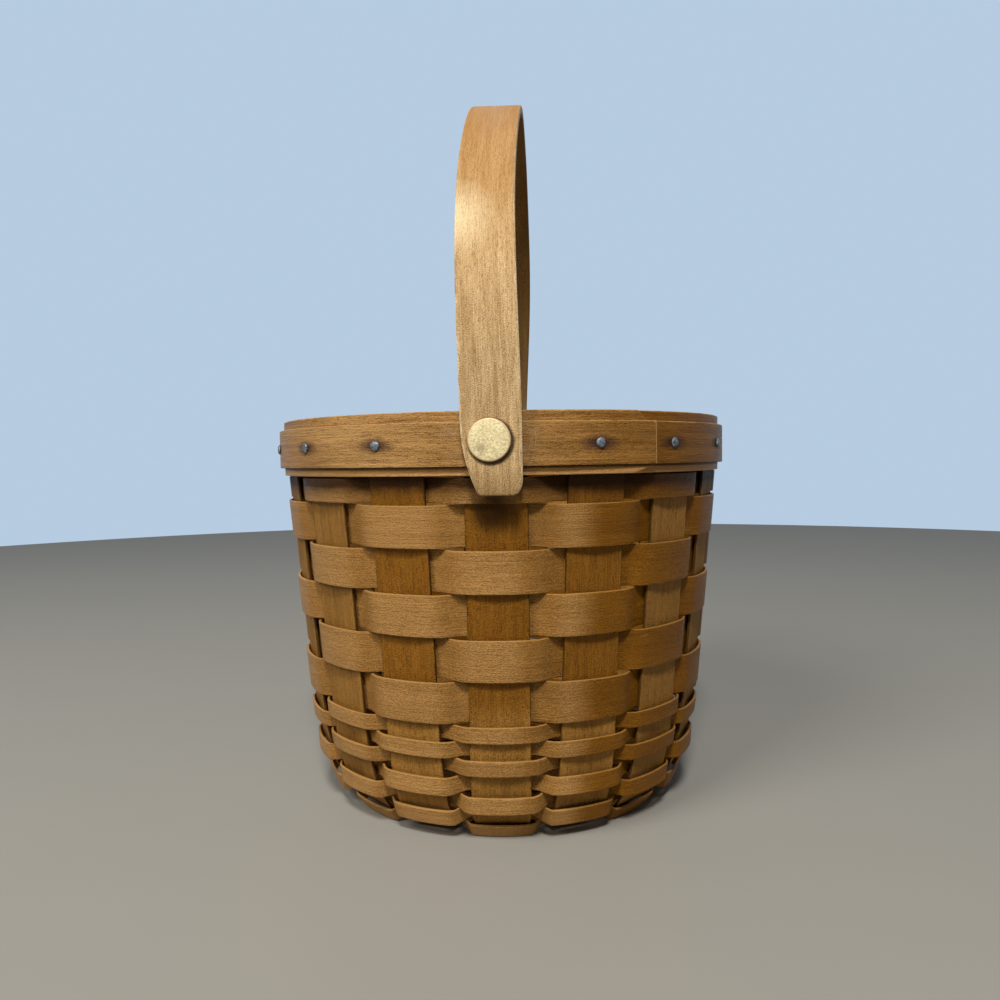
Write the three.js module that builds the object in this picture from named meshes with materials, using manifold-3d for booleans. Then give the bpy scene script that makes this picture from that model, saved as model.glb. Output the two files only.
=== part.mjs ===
// A round basket of woven wood splints, with a clamped rim and a swinging bentwood handle.
// Millimetres, +Z up. The origin is on the table, on the basket's axis.
// The handle's legs are at the front (-Y) and at the back (+Y).
import * as THREE from 'three';
import { mergeVertices } from 'three/addons/utils/BufferGeometryUtils.js';
import Module from 'manifold-3d';

const wasm = await Module();
wasm.setup();

// Strips that the basket is woven from
const splintCount = 8; // each gives two uprights
const splintWidth = 19.05;
const splintThickness = 0.9;
const splintHubWidth = 6.5; // waist where the splints cross under the base
const splintFlare = 0.27; // width for each millimetre of radius across the base
const splintWidening = 15.0; // length over which a splint comes to its full width past the flat base
const weaveTurn = 1.0; // degrees that the first upright stands to the side of the handle's plane
const weaverThickness = 0.9;
const topWeaverWidth = 7.7; // the row under the bands
const narrowWeaverWidth = 5.2;
const footWeaverWidth = 5.8;
const footStance = 12; // degrees that a foot weaver stands more upright than the splints it crosses
const baseWeaverWidth = 5.2;
const baseRowCount = 4;
const footRowCount = 4;
const narrowRowCount = 3;
const wideRowCount = 5; // these share the wall between the narrow rows and the top row

// Room between the rows and between the layers
const weaveClearance = 0.25; // between an upright and the weaver that crosses it
const lapClearance = 0.25; // between the two ends of one weaver
const weaverBow = 1.0; // how far a weaver stands off the middle of the flat upright that it passes outside
const rowGap = 0.55;
const narrowRowGap = 0.25;
const footRowGap = 0.3;
const baseRowGap = 0.6;
const openRowGap = 1.2; // the open line between the foot rows and the narrow rows
const baseEdgeMargin = 0.2; // from the outermost row of the base to the edge of its flat ring
const cornerGap = 5.3; // from that edge to the first row of the foot
const bandRowGap = 0.4; // between the last row and the bands above it
const firstLapUpright = 5; // the first upright, counted from the front towards +X, that has a weaver's lap
const lapPlaceCount = 3; // how many places the laps are spread over
const weaverEdgeClearance = 0.4; // from the side of an upright to the bend of a weaver
const hubClearance = 0.1; // between splints stacked at the middle of the base

// Shape of the wall and the base, measured on the middle of the splints' thickness
const rimHeight = 136.5;
const wallRadiusAtRim = 79.0;
const wallTaper = 0.087; // radius lost for each millimetre of height below the rim
const kneeHeight = 38.0; // where the straight wall turns into the foot
const footRadius = 53.5; // outer edge of the flat base
const flatRingWidth = 5.6;
const domeRise = 4.0; // the middle of the base stands this much above its flat ring
const domeTopShare = 0.45; // the dome's curve leads level out to here, as a share of its radius
const domeEdgeShare = 0.8; // and straightens out again from here
const domeEdgeLift = 0.9; // which stands this much above the flat ring, so only the ring touches the table
const footReach = 11.5; // how far the curve of the foot leads out from the base
const kneeReach = 20.0; // how far it leads down from the wall
const hubRadius = 16.8; // the splints are stacked inside this radius
const hubEase = 11.2; // and come down to one level over this distance

// Rim
const bandHeight = 19.05;
const bandThickness = 1.5;
const innerBandThickness = 2.0;
const trimHeight = 13.2;
const trimThickness = 1.5;
const trimSetDown = 3.2; // outer band that shows above the trim
const splintSetDown = 0.6; // from the top of the bands down to the ends of the uprights
const bandSeatClearance = 0.07;
const rimLayerClearance = 0.15;
const lapEndAngle = 36.3; // degrees from the front towards +X, the exposed end of the lap
const lapLength = 22.5; // degrees
const lapRampLength = 6.9; // degrees over which the outer layers climb onto the lap
const thinEndShare = 0.2; // thickness left at the hidden end of a lapped strip
const outerEndThickness = 0.6; // thickness left at the exposed end
const tongueBottomCut = { length: 5.3, height: 2.6 }; // degrees and millimetres
const tongueTopCut = { length: 4.6, height: 5.6 };
const innerJointAngle = 200; // degrees, where the ends of the inner band meet
const innerEndGap = 0.4; // degrees between the butted ends of the inner band
const facetAngle = 7.5; // degrees between the bends of a hoop
const leastFacetAngle = 0.8;

// Handle
const handleWidth = 17.9;
const handleThickness = 3.0;
const handleTopHeight = 254.3;
const handleTail = 16.0; // leg below the rivet
const handleOffset = 0.5; // the holes are this far to one side of the strip's middle
const handleRimClearance = 0.45;
const handleLegRise = 18.0; // straight leg above the rivet
const handleLegReach = 66.0; // how far the curve of the arch leads up from a leg
const handleTopReach = 24.0; // how far it leads out from the top
const handleTwist = 1.9; // degrees that the arch is turned about the upright axis, against the rivets
const handleTwistRise = 92.0; // height above the rivets over which the twist comes in
const handleLean = 1.0; // how far the arch has come to lean towards +X at its top
const legLongRound = 50.0; // radius that narrows one side of a leg's end
const legLongRoundDrop = 22.0;
const legShortRound = 6.0;
const legShortRoundDrop = 4.4;

// Rivets, washers and tacks
const rivetSetDown = 8.7; // from the top of the bands down to the middle of the rivets
const rivetHeadDiameter = 12.5;
const rivetHeadThickness = 1.1;
const rivetShankDiameter = 5.0;
const rivetTailDiameter = 7.4;
const rivetTailThickness = 1.0;
const rivetTailFaceDiameter = 4.8; // the flat of the upset end
const rivetHeadBevel = 0.35;
const rivetHoleClearance = 0.3;
const rivetHeadClearance = 0.2;
const washerDiameter = 11.0;
const washerThickness = 0.8;
const washerClearance = 0.2;
const tackHeadDiameter = 3.4;
const tackHeadThickness = 0.75;
const tackCrownDiameter = 2.0;
const tackShankDiameter = 1.2;
const tackPointLength = 1.2;
const tackHoleClearance = 0.3;
const tackSeatClearance = 0.12;
const tackDrift = -3.2; // degrees from the middle of an upright
const lapTackDrift = -1.0; // the tack that goes through the lap
const tackBite = 1.2; // how deep a tack goes into the inner band

// Facets and steps of the curved shapes
const cutMargin = 2.0; // how far a cutting tool reaches past the surface that it cuts
const rivetFacets = 20;
const washerFacets = 16;
const rivetHoleFacets = 12;
const tackFacets = 8;
const tackHoleFacets = 6;
const legSteps = 4;
const archSteps = 12;
const legCornerSteps = 6;
const hubSteps = 4;
const footSteps = 7;

const uprightCount = 2 * splintCount;
const uprightPitch = 360 / uprightCount;
const layerOffset = splintThickness / 2 + weaveClearance + weaverThickness / 2;
const flatRingHeight = splintThickness / 2 + weaveClearance + weaverThickness;
const bandBottom = rimHeight - bandHeight;
const kneeRadius = wallRadiusAtRim - wallTaper * (bandBottom - kneeHeight);
const pivotHeight = rimHeight - rivetSetDown;

const radians = THREE.MathUtils.degToRad;
const degrees = THREE.MathUtils.radToDeg;
const mix = THREE.MathUtils.lerp;
const smooth = THREE.MathUtils.smoothstep;

// Materials
function material(color, roughness, metalness = 0) {
  return new THREE.MeshStandardMaterial({ color, roughness, metalness, flatShading: true });
}
const uprightWood = material(0x8a5626, 0.55);
const weaverWood = material(0xa9713a, 0.5);
const rimWood = material(0xa66f35, 0.5);
const handleWood = material(0xbb8650, 0.5);
const brass = material(0xb99a5b, 0.4, 1);
const steel = material(0x4a5058, 0.45, 1);

// The profile that every upright follows, as radius and height, from the middle of the base outwards
const flatRingInner = footRadius - flatRingWidth;
const profile = new THREE.CurvePath();
profile.add(new THREE.CubicBezierCurve(
  new THREE.Vector2(0, flatRingHeight + domeRise),
  new THREE.Vector2(flatRingInner * domeTopShare, flatRingHeight + domeRise),
  new THREE.Vector2(flatRingInner * domeEdgeShare, flatRingHeight + domeEdgeLift),
  new THREE.Vector2(flatRingInner, flatRingHeight),
));
profile.add(new THREE.LineCurve(
  new THREE.Vector2(flatRingInner, flatRingHeight),
  new THREE.Vector2(footRadius, flatRingHeight),
));
profile.add(new THREE.CubicBezierCurve(
  new THREE.Vector2(footRadius, flatRingHeight),
  new THREE.Vector2(footRadius + footReach, flatRingHeight),
  new THREE.Vector2(kneeRadius - wallTaper * kneeReach, kneeHeight - kneeReach),
  new THREE.Vector2(kneeRadius, kneeHeight),
));
profile.add(new THREE.LineCurve(
  new THREE.Vector2(kneeRadius, kneeHeight),
  new THREE.Vector2(wallRadiusAtRim, bandBottom),
));
profile.add(new THREE.LineCurve(
  new THREE.Vector2(wallRadiusAtRim, bandBottom),
  new THREE.Vector2(wallRadiusAtRim, rimHeight - splintSetDown),
));
const partLengths = profile.curves.map((curve) => curve.getLength());
const arcAtPartEnd = partLengths.map((_, i) => partLengths.slice(0, i + 1).reduce((a, b) => a + b));
const [arcAtFlatStart, arcAtFlatEnd, arcAtKnee, arcAtBand, arcAtTop] = arcAtPartEnd;

// A point of the profile at an arc length, with the direction along it and the direction out of it
function profileAt(arc) {
  const part = Math.max(0, arcAtPartEnd.findIndex((end) => arc <= end + 1e-9));
  const start = part === 0 ? 0 : arcAtPartEnd[part - 1];
  const share = THREE.MathUtils.clamp((arc - start) / partLengths[part], 0, 1);
  const point = profile.curves[part].getPointAt(share);
  const along = profile.curves[part].getTangentAt(share);
  return { radius: point.x, height: point.y, along, out: new THREE.Vector2(along.y, -along.x) };
}

function splintWidthAt(radius, arc) {
  const acrossBase = Math.max(splintHubWidth, splintFlare * Math.min(radius, footRadius));
  return mix(acrossBase, splintWidth, smooth(arc, arcAtFlatEnd, arcAtFlatEnd + splintWidening));
}

function uprightAngle(upright) {
  return upright * uprightPitch + weaveTurn;
}

// A point at an angle from the front towards +X, at a radius and a height
function around(angle, radius, height) {
  const a = radians(angle);
  return new THREE.Vector3(radius * Math.sin(a), -radius * Math.cos(a), height);
}

// A closed strip from its cross-sections, each given as four corners in the same order
function stripSolid(sections) {
  const positions = sections.flat().flatMap((corner) => corner.toArray());
  const index = [];
  for (let i = 0; i < sections.length - 1; i += 1) {
    for (let side = 0; side < 4; side += 1) {
      const a = i * 4 + side;
      const b = i * 4 + ((side + 1) % 4);
      index.push(a, b, a + 4, b, b + 4, a + 4);
    }
  }
  const last = (sections.length - 1) * 4;
  index.push(0, 2, 1, 0, 3, 2);
  index.push(last, last + 1, last + 2, last, last + 2, last + 3);
  const geometry = new THREE.BufferGeometry();
  geometry.setAttribute('position', new THREE.Float32BufferAttribute(positions, 3));
  geometry.setIndex(index);
  return geometry;
}

// Boolean work: a closed geometry as a solid, and back
function toSolid(geometry) {
  const bare = geometry.clone();
  bare.deleteAttribute('normal');
  bare.deleteAttribute('uv');
  const merged = mergeVertices(bare, 1e-4);
  return new wasm.Manifold(new wasm.Mesh({
    numProp: 3,
    vertProperties: merged.attributes.position.array,
    triVerts: new Uint32Array(merged.index.array),
  }));
}

function fromSolid(solid) {
  const mesh = solid.getMesh();
  const geometry = new THREE.BufferGeometry();
  geometry.setAttribute('position', new THREE.BufferAttribute(mesh.vertProperties, 3));
  geometry.setIndex(new THREE.BufferAttribute(mesh.triVerts, 1));
  return geometry;
}

function cut(geometry, tools) {
  const solid = tools.reduce((body, tool) => body.subtract(toSolid(tool)), toSolid(geometry));
  return fromSolid(solid);
}

// A turned shape whose axis points out of the basket at an angle; y is the distance from the basket's axis
function turnedOutwards(points, angle, height, facets) {
  const geometry = new THREE.LatheGeometry(points.map(([r, y]) => new THREE.Vector2(r, y)), facets);
  const direction = around(angle, 1, 0);
  const turn = new THREE.Quaternion().setFromUnitVectors(new THREE.Vector3(0, 1, 0), direction);
  geometry.applyQuaternion(turn);
  geometry.translate(0, 0, height);
  return geometry;
}

function rodOutwards(diameter, from, to, angle, height, facets) {
  const r = diameter / 2;
  return turnedOutwards([[0, from], [r, from], [r, to], [0, to]], angle, height, facets);
}

const basket = new THREE.Group();

function addPiece(name, geometry, pieceMaterial) {
  const finished = geometry;
  finished.computeVertexNormals();
  const mesh = new THREE.Mesh(finished, pieceMaterial);
  mesh.name = name;
  basket.add(mesh);
}

// Layers of the rim, as radii at an angle along a hoop that runs a full turn and its lap.
// The flats between its bends stay clear of the corners of the uprights
const uprightCornerRadius = Math.hypot(wallRadiusAtRim + splintThickness / 2, splintWidth / 2);
const bandSeat = uprightCornerRadius / Math.cos(radians(facetAngle / 2)) + bandSeatClearance;
const lapStartAngle = lapEndAngle - lapLength;
const hoopStart = lapStartAngle - 360;
const lapLift = thinEndShare * (bandThickness + trimThickness) + 2 * rimLayerClearance;

function rimLayers(angle) {
  const startShare = THREE.MathUtils.clamp((angle - hoopStart) / lapLength, 0, 1);
  const endShare = THREE.MathUtils.clamp((angle - lapStartAngle) / lapLength, 0, 1);
  const hiddenShare = mix(thinEndShare, 1, startShare);
  const hiddenUnderEnd = mix(thinEndShare, 1, endShare);
  const climb = lapLift * smooth(angle, lapStartAngle - lapRampLength, lapStartAngle);
  const lapGrowth = endShare > 0
    ? (hiddenUnderEnd - thinEndShare) * (bandThickness + trimThickness)
    : 0;
  const depthOf = (thickness) => (endShare > 0
    ? mix(thickness, outerEndThickness, endShare)
    : thickness * hiddenShare);
  const bandInner = bandSeat + climb + lapGrowth;
  const bandOuter = bandInner + depthOf(bandThickness);
  const trimInner = bandOuter + rimLayerClearance;
  return { bandInner, bandOuter, trimInner, trimOuter: trimInner + depthOf(trimThickness) };
}

function hoopAngles() {
  const specials = [lapStartAngle - lapRampLength, lapStartAngle, lapEndAngle - tongueBottomCut.length,
    lapEndAngle - tongueTopCut.length, lapEndAngle];
  const angles = [...specials, ...specials.map((a) => a - 360)].filter((a) => a >= hoopStart - 1e-6);
  for (let a = Math.ceil(hoopStart / facetAngle) * facetAngle; a < lapEndAngle; a += facetAngle) {
    if (!angles.some((b) => Math.abs(a - b) < leastFacetAngle)) angles.push(a);
  }
  return angles.sort((a, b) => a - b);
}

function hoop(angles, innerAt, outerAt, bottomAt, topAt) {
  return stripSolid(angles.map((a) => [
    around(a, innerAt(a), bottomAt(a)),
    around(a, innerAt(a), topAt(a)),
    around(a, outerAt(a), topAt(a)),
    around(a, outerAt(a), bottomAt(a)),
  ]));
}

// Places of the fasteners
const rivetAngles = [0, 180];
const rimInnerRadius = wallRadiusAtRim - splintThickness / 2 - bandSeatClearance - innerBandThickness;
const trimBottom = rimHeight - trimSetDown - trimHeight;
const trimMiddle = trimBottom + trimHeight / 2;
const tackUprights = [...Array(uprightCount).keys()].filter((k) => k % splintCount !== 0);

function tackAngle(upright) {
  const angle = uprightAngle(upright);
  const inLap = angle > lapStartAngle && angle < lapEndAngle;
  return angle + (inLap ? lapTackDrift : tackDrift);
}

function trimOuterAt(angle) {
  return rimLayers(angle > lapEndAngle ? angle - 360 : angle).trimOuter;
}

const tackTip = rimInnerRadius + innerBandThickness - tackBite;
const rivetHoleDiameter = rivetShankDiameter + 2 * rivetHoleClearance;
const tackHoleDiameter = tackShankDiameter + 2 * tackHoleClearance;

const legInner = trimOuterAt(0) + handleRimClearance;
const legOuter = legInner + handleThickness;
const rivetHoles = rivetAngles.map((angle) => rodOutwards(
  rivetHoleDiameter, rimInnerRadius - cutMargin, legOuter + cutMargin, angle, pivotHeight, rivetHoleFacets));
const tackHoles = tackUprights.map(tackAngle).map((angle) => rodOutwards(
  tackHoleDiameter, tackTip - tackHoleClearance, trimOuterAt(angle) + cutMargin,
  angle, trimMiddle, tackHoleFacets));
const rimHoles = [...rivetHoles, ...tackHoles];

// Splints: one strip each, up the wall on both sides and stacked where they cross under the base
function splintArcs() {
  const arcs = [0, hubRadius];
  for (let i = 1; i <= hubSteps; i += 1) arcs.push(hubRadius + (hubEase * i) / hubSteps);
  arcs.push((hubRadius + hubEase + arcAtFlatStart) / 2, arcAtFlatStart, arcAtFlatEnd);
  for (let i = 1; i <= footSteps; i += 1) arcs.push(mix(arcAtFlatEnd, arcAtKnee, i / footSteps));
  arcs.push(arcAtBand, arcAtTop);
  return arcs;
}

function splint(level) {
  const angle = uprightAngle(level);
  const side = around(angle + 90, 1, 0);
  const radial = around(angle, 1, 0);
  const levelLift = (level - (splintCount - 1) / 2) * (splintThickness + hubClearance);
  const arcs = splintArcs();
  const signedArcs = [...arcs.slice(1).reverse().map((a) => -a), ...arcs];
  return stripSolid(signedArcs.map((signedArc) => {
    const arc = Math.abs(signedArc);
    const sign = signedArc < 0 ? -1 : 1;
    const { radius, height, out } = profileAt(arc);
    const lift = levelLift * (1 - smooth(arc, hubRadius, hubRadius + hubEase));
    const centre = radial.clone().multiplyScalar(sign * radius).setZ(height + lift);
    const normal = radial.clone().multiplyScalar(sign * out.x).setZ(out.y);
    const half = side.clone().multiplyScalar(splintWidthAt(radius, arc) / 2);
    const depth = normal.multiplyScalar(splintThickness / 2);
    return [
      centre.clone().sub(half).sub(depth),
      centre.clone().sub(half).add(depth),
      centre.clone().add(half).add(depth),
      centre.clone().add(half).sub(depth),
    ];
  }));
}

for (let level = 0; level < splintCount; level += 1) {
  addPiece(`splint_${level + 1}`, cut(splint(level), rimHoles), uprightWood);
}

// Weavers: one strip each, in front of every second upright, with its ends lapped.
// It bends beside each upright, and on the wall once more at the upright's middle
function weaver(row) {
  const middle = profileAt(row.bottom + row.width / 2);
  const low = profileAt(row.bottom);
  const high = profileAt(row.bottom + row.width);
  const onWall = row.bottom > arcAtFlatEnd;
  const places = onWall ? [-1, 0, 1] : [-1, 1];

  // The weaver is flat across its width, and the splint that it lies on is not
  const hollow = Math.hypot(middle.radius - (low.radius + high.radius) / 2,
    middle.height - (low.height + high.height) / 2);
  const halfUpright = splintWidthAt(high.radius, row.bottom + row.width) / 2 + weaverEdgeClearance;
  const bendAngle = Math.asin(halfUpright / (low.radius + layerOffset));
  const edgeLift = middle.radius * (1 / Math.cos(bendAngle) - 1) * Math.max(0, middle.out.x);
  const outsideMiddle = layerOffset + weaverBow * middle.out.x;
  const outsideEdge = layerOffset + edgeLift;
  const inside = -(layerOffset + 2 * hollow);
  const secondLayer = weaverThickness + lapClearance;

  const sections = [];
  for (let i = 0; i < uprightCount + row.lappedUprights; i += 1) {
    const upright = row.firstUpright + i;
    const isOutside = (upright + row.number) % 2 !== 0;
    const onHiddenEnd = i < row.lappedUprights;
    const onCoveringEnd = i >= uprightCount;
    for (const place of places) {
      let offset = inside;
      if (isOutside) offset = place === 0 ? outsideMiddle : outsideEdge;
      if (isOutside && onCoveringEnd) offset += secondLayer;
      if (!isOutside && onHiddenEnd) offset -= secondLayer;
      sections.push(weaverSection(middle, row, uprightAngle(upright) + place * degrees(bendAngle), offset));
    }
  }
  return stripSolid(sections);
}

// A weaver's cross-section. A foot weaver is turned upright about the edge that touches the splint:
// its top edge outside a splint, its bottom edge inside one
function weaverSection(middle, row, angle, offset) {
  const held = offset > 0 ? 1 : -1;
  const heldEdge = new THREE.Vector2(middle.radius, middle.height)
    .addScaledVector(middle.out, offset)
    .addScaledVector(middle.along, (held * row.width) / 2);
  const along = middle.along.clone().rotateAround(new THREE.Vector2(), radians(row.stance));
  const out = new THREE.Vector2(along.y, -along.x);
  const corner = (alongShare, outShare) => {
    const point = heldEdge.clone()
      .addScaledVector(along, ((alongShare - held) * row.width) / 2)
      .addScaledVector(out, (outShare * weaverThickness) / 2);
    return around(angle, point.x, point.y);
  };
  return [corner(-1, -1), corner(1, -1), corner(1, 1), corner(-1, 1)];
}

// The rows from the middle of the base upwards, each with its lowest arc length and its width
function weaverRows() {
  const rows = [];
  let edge = arcAtFlatEnd - baseEdgeMargin;
  for (let i = 0; i < baseRowCount; i += 1) {
    rows.unshift({ bottom: edge - baseWeaverWidth, width: baseWeaverWidth, lappedUprights: 1, stance: 0 });
    edge -= baseWeaverWidth + baseRowGap;
  }
  edge = arcAtFlatEnd + cornerGap;
  const wallRows = [
    [footRowCount, footWeaverWidth, footRowGap, openRowGap, 1, footStance],
    [narrowRowCount, narrowWeaverWidth, narrowRowGap, rowGap, 3, 0],
  ];
  for (const [count, width, gap, gapAfter, lappedUprights, stance] of wallRows) {
    for (let i = 0; i < count; i += 1) {
      rows.push({ bottom: edge, width, lappedUprights, stance });
      edge += width + (i < count - 1 ? gap : gapAfter);
    }
  }
  const topRowBottom = arcAtBand - bandRowGap - topWeaverWidth;
  const widePitch = (topRowBottom - edge) / wideRowCount;
  for (let i = 0; i < wideRowCount; i += 1) {
    rows.push({ bottom: edge + i * widePitch, width: widePitch - rowGap, lappedUprights: 3, stance: 0 });
  }
  rows.push({ bottom: topRowBottom, width: topWeaverWidth, lappedUprights: 3, stance: 0 });
  return rows.map((row, i) => ({ ...row, number: i + 1 }));
}

// Where each row starts: the laps are spread over the back, and both ends are hidden behind an upright
function firstUprightOf(row) {
  const place = 2 * (Math.floor(row.number / 2) % lapPlaceCount);
  return firstLapUpright + place + (row.number % 2 === 0 ? 1 : 0);
}

for (const row of weaverRows()) {
  row.firstUpright = firstUprightOf(row);
  addPiece(`weaver_${String(row.number).padStart(2, '0')}`, weaver(row), weaverWood);
}

// Bands and trim
function cornerCut(angle, corner) {
  return corner.height * THREE.MathUtils.clamp((angle - lapEndAngle) / corner.length + 1, 0, 1);
}
const rimAngles = hoopAngles();
const outerBand = hoop(rimAngles, (a) => rimLayers(a).bandInner, (a) => rimLayers(a).bandOuter,
  (a) => bandBottom + cornerCut(a, tongueBottomCut), (a) => rimHeight - cornerCut(a, tongueTopCut));
addPiece('outer_band', cut(outerBand, rimHoles), rimWood);

const trimBand = hoop(rimAngles, (a) => rimLayers(a).trimInner, (a) => rimLayers(a).trimOuter,
  () => trimBottom, () => trimBottom + trimHeight);
addPiece('trim_band', cut(trimBand, rimHoles), rimWood);

const innerEndAngle = innerJointAngle - innerEndGap;
const innerAngles = [];
for (let a = innerJointAngle - 360; a < innerEndAngle - leastFacetAngle; a += facetAngle) innerAngles.push(a);
innerAngles.push(innerEndAngle);
const innerBand = hoop(innerAngles, () => rimInnerRadius, () => rimInnerRadius + innerBandThickness,
  () => bandBottom, () => rimHeight);
addPiece('inner_band', cut(innerBand, rimHoles), rimWood);

// Handle: a strip bent over into an arch, with its legs outside the rim. The line of its middle is followed
// from the front leg's end to the top, as distance from the basket's axis and height, and then mirrored
const legMiddle = legInner + handleThickness / 2;
const legEnd = pivotHeight - handleTail;
const archFoot = pivotHeight + handleLegRise;
const archTop = handleTopHeight - handleThickness / 2;
const arch = new THREE.CubicBezierCurve(
  new THREE.Vector2(legMiddle, archFoot),
  new THREE.Vector2(legMiddle, archFoot + handleLegReach),
  new THREE.Vector2(handleTopReach, archTop),
  new THREE.Vector2(0, archTop),
);

function handleLine() {
  const upwards = new THREE.Vector2(0, 1);
  const line = [];
  for (let i = 0; i < legSteps; i += 1) {
    line.push({ place: new THREE.Vector2(legMiddle, mix(legEnd, archFoot, i / legSteps)), along: upwards });
  }
  for (let i = 0; i <= archSteps; i += 1) {
    line.push({ place: arch.getPoint(i / archSteps), along: arch.getTangent(i / archSteps) });
  }
  return line;
}

function handleSection({ place, along }, legSide) {
  const normal = new THREE.Vector2(along.y, -along.x).multiplyScalar(handleThickness / 2);
  const corner = (widthShare, depthShare) => {
    const y = legSide * (place.x + depthShare * normal.x);
    const z = place.y + depthShare * normal.y;
    const twist = Math.tan(radians(handleTwist)) * smooth(z, pivotHeight, pivotHeight + handleTwistRise);
    const lean = handleLean * smooth(z, pivotHeight, handleTopHeight);
    return new THREE.Vector3(handleOffset + (widthShare * handleWidth) / 2 + y * twist + lean, y, z);
  };
  return [corner(1, -1), corner(-1, -1), corner(-1, 1), corner(1, 1)];
}

const frontHalf = handleLine();
const backHalf = frontHalf.slice(0, -1).reverse();
const handleStrip = stripSolid([
  ...frontHalf.map((station) => handleSection(station, -1)),
  ...backHalf.map((station) => handleSection(station, 1)),
]);

// What is cut off the corners of a leg's end: long and rounded on one side, short on the other
function legCorner(towards, round, drop, legSide) {
  const edge = handleWidth / 2;
  const insetAt = (down) => round - Math.sqrt(Math.max(0, round * round - down * down));
  const outline = new THREE.Shape();
  outline.moveTo(towards * (edge + cutMargin), legEnd + drop);
  for (let i = 0; i <= legCornerSteps; i += 1) {
    const down = (drop * i) / legCornerSteps;
    outline.lineTo(towards * (edge - insetAt(down)), legEnd + drop - down);
  }
  outline.lineTo(towards * (edge - insetAt(drop)), legEnd - cutMargin);
  outline.lineTo(towards * (edge + cutMargin), legEnd - cutMargin);
  const depth = handleThickness + 2 * cutMargin;
  const block = new THREE.ExtrudeGeometry(outline, { depth, bevelEnabled: false });
  block.rotateX(Math.PI / 2);
  block.translate(handleOffset, legSide * (legInner + handleThickness / 2) + depth / 2, 0);
  return block;
}

const legCorners = [-1, 1].flatMap((legSide) => [
  legCorner(legSide, legLongRound, legLongRoundDrop, legSide),
  legCorner(-legSide, legShortRound, legShortRoundDrop, legSide),
]);
addPiece('handle', cut(handleStrip, [...legCorners, ...rivetHoles]), handleWood);

// Rivets, with a flat head outside the handle and an upset tail inside the washer
const washerOuter = Math.sqrt(rimInnerRadius ** 2 - (washerDiameter / 2) ** 2) - washerClearance;
const washerInner = washerOuter - washerThickness;
const tailTop = washerInner - washerClearance;
const headBottom = legOuter + rivetHeadClearance;
const headTop = headBottom + rivetHeadThickness;
const rivetProfile = [
  [0, tailTop - rivetTailThickness],
  [rivetTailFaceDiameter / 2, tailTop - rivetTailThickness],
  [rivetTailDiameter / 2, tailTop - rivetTailThickness / 3],
  [rivetTailDiameter / 2, tailTop],
  [rivetShankDiameter / 2, tailTop],
  [rivetShankDiameter / 2, headBottom],
  [rivetHeadDiameter / 2, headBottom],
  [rivetHeadDiameter / 2, headTop - rivetHeadBevel],
  [rivetHeadDiameter / 2 - rivetHeadBevel, headTop],
  [0, headTop],
];
const washerHole = rivetHoleDiameter / 2;
const washerProfile = [
  [washerHole, washerInner],
  [washerDiameter / 2, washerInner],
  [washerDiameter / 2, washerOuter],
  [washerHole, washerOuter],
  [washerHole, washerInner],
];
['front', 'back'].forEach((name, i) => {
  addPiece(`rivet_${name}`, turnedOutwards(rivetProfile, rivetAngles[i], pivotHeight, rivetFacets), brass);
  addPiece(`washer_${name}`, turnedOutwards(washerProfile, rivetAngles[i], pivotHeight, washerFacets), brass);
});

// Tacks, one at each upright that has no rivet
tackUprights.forEach((upright, i) => {
  const angle = tackAngle(upright);
  const seat = trimOuterAt(angle) + tackSeatClearance;
  const shank = tackShankDiameter / 2;
  const head = tackHeadDiameter / 2;
  const points = [
    [0, tackTip],
    [shank, tackTip + tackPointLength],
    [shank, seat],
    [head, seat],
    [head, seat + tackHeadThickness / 3],
    [tackCrownDiameter / 2, seat + tackHeadThickness],
    [0, seat + tackHeadThickness],
  ];
  const name = `tack_${String(i + 1).padStart(2, '0')}`;
  addPiece(name, turnedOutwards(points, angle, trimMiddle, tackFacets), steel);
});

export default basket;
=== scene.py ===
import math
import random

import bpy
import numpy as np
from mathutils import Matrix, Vector


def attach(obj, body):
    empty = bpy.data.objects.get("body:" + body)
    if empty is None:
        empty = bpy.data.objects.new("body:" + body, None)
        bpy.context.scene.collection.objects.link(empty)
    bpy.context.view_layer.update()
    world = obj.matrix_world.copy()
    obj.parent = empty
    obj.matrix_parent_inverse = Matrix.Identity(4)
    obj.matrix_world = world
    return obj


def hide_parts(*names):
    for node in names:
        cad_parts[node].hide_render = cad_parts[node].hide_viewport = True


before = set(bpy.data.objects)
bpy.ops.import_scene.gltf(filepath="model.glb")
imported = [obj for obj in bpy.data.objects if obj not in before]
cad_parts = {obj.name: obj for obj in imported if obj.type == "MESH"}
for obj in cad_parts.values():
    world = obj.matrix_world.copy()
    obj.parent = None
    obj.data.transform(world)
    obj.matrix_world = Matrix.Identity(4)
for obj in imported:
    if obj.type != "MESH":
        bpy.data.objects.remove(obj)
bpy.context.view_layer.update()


# Camera
# It stands about a third of a metre in front of the basket and a little to its right, level with the
# rim's lower edge, and looks slightly down.
camera_place = (0.0123, -0.3196, 0.1224)
camera_heading = math.radians(-2.33)  # to the right of straight ahead
camera_tilt = math.radians(-2.90)  # above level
camera_roll = math.radians(-0.86)
film_width = 36.0
focal_length = 29.4


def add_object(name, data):
    made = bpy.data.objects.new(name, data)
    bpy.context.scene.collection.objects.link(made)
    return made


camera_data = bpy.data.cameras.new("camera")
camera_data.sensor_width = film_width
camera_data.lens = focal_length
camera_data.clip_start = 0.01
camera = add_object("camera", camera_data)
camera.matrix_world = (
    Matrix.Translation(camera_place)
    @ Matrix.Rotation(-camera_heading, 4, "Z")
    @ Matrix.Rotation(math.pi / 2 + camera_tilt, 4, "X")
    @ Matrix.Rotation(camera_roll, 4, "Z")
)
bpy.context.scene.camera = camera


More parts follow.
